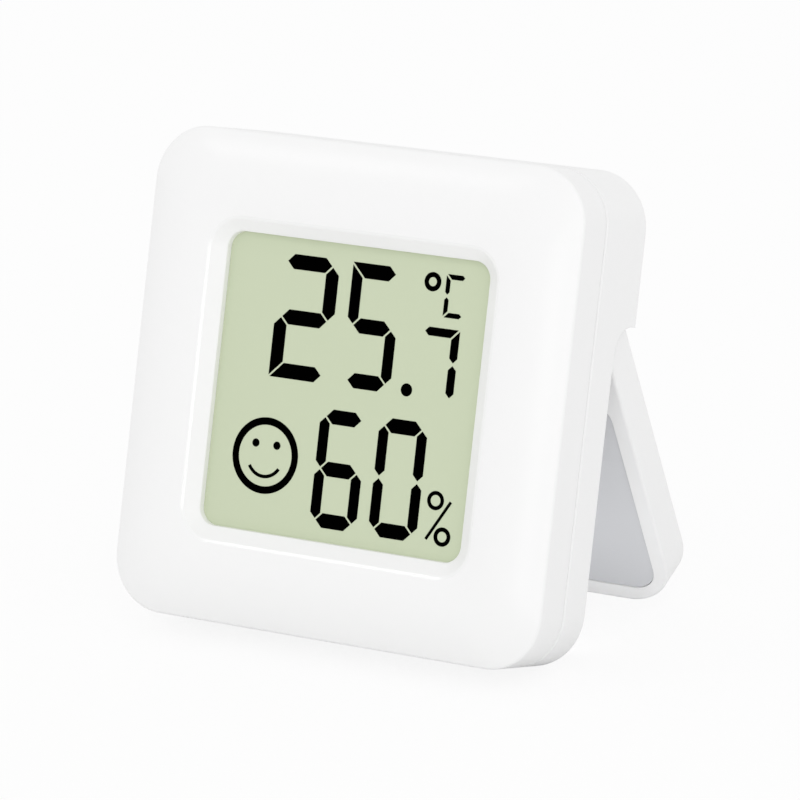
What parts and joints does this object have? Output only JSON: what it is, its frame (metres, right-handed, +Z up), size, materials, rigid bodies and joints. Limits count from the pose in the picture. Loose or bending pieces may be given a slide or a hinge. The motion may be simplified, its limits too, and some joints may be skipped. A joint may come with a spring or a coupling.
{
  "type": "temperature humidity sensor",
  "caption": "Square desk thermometer and hygrometer with a domed frame round a segment display, leaning on a folding back stand.",
  "frame": {"origin": "middle of the footprint, on the surface it stands on", "axes": "+Z up, +X to the right as seen from the front, the display faces -Y and leans back"},
  "size_m": [0.06, 0.0418, 0.0606],
  "materials": {
    "shell": "fine satin moulding",
    "display_film": "matte film",
    "display_ink": "flat black",
    "display_glass": "clear",
    "foam": "fine foam",
    "carrier": "moulded black",
    "elastomer": "soft",
    "board": "solder mask",
    "screw_steel": "zinc plated",
    "tin_plate": "tin plated",
    "chip": "moulded epoxy",
    "ceramic": "fired ceramic",
    "spring_steel": "nickel plated",
    "cell_steel": "nickel plated",
    "gasket": "moulded",
    "electrodes": "pressed powder",
    "inlay": "smooth sheet",
    "magnet": "nickel plated"
  },
  "bodies": {
    "housing": {"front_cover": "shell", "rear_cover": "shell", "display_front_polariser": "display_film", "display_segments": "display_ink", "display_front_glass": "display_glass", "display_rear_glass": "display_glass", "display_reflector": "display_film", "display_cushion": "foam", "display_holder": "carrier", "contact_strips": "elastomer", "main_board": "board", "board_screws": "screw_steel", "radio_board": "board", "radio_shield": "tin_plate", "display_driver": "chip", "crystal": "tin_plate", "board_capacitors": "ceramic", "humidity_sensor": "chip", "switch_body": "carrier", "cell_holder": "carrier", "negative_contact": "spring_steel", "positive_contact": "spring_steel", "cell_can": "cell_steel", "cell_cap": "cell_steel", "cell_gasket": "gasket", "cell_electrodes": "electrodes"},
    "stand": {"stand_frame": "shell", "stand_inlay": "inlay", "stand_magnets": "magnet"},
    "door": {"battery_door": "shell"},
    "button": {"button_cap": "shell", "switch_plunger": "chip"}
  },
  "joints": [
    {"name": "stand_fold", "type": "hinge", "parent": "housing", "child": "stand", "pos_m": [0, 0.00398, 0.0359], "axis": [-1, 0, 0], "range_deg": [0, 39.5]},
    {"name": "door_turn", "type": "hinge", "parent": "housing", "child": "door", "pos_m": [0, -0.00521, 0.01991], "axis": [0, 0.9617, -0.2742], "range_deg": [0, 30]},
    {"name": "button_press", "type": "slide", "parent": "housing", "child": "button", "axis": [0, -0.9617, 0.2742], "range_m": [0, 0.0004], "stiffness_N_per_m": 2000}
  ]
}
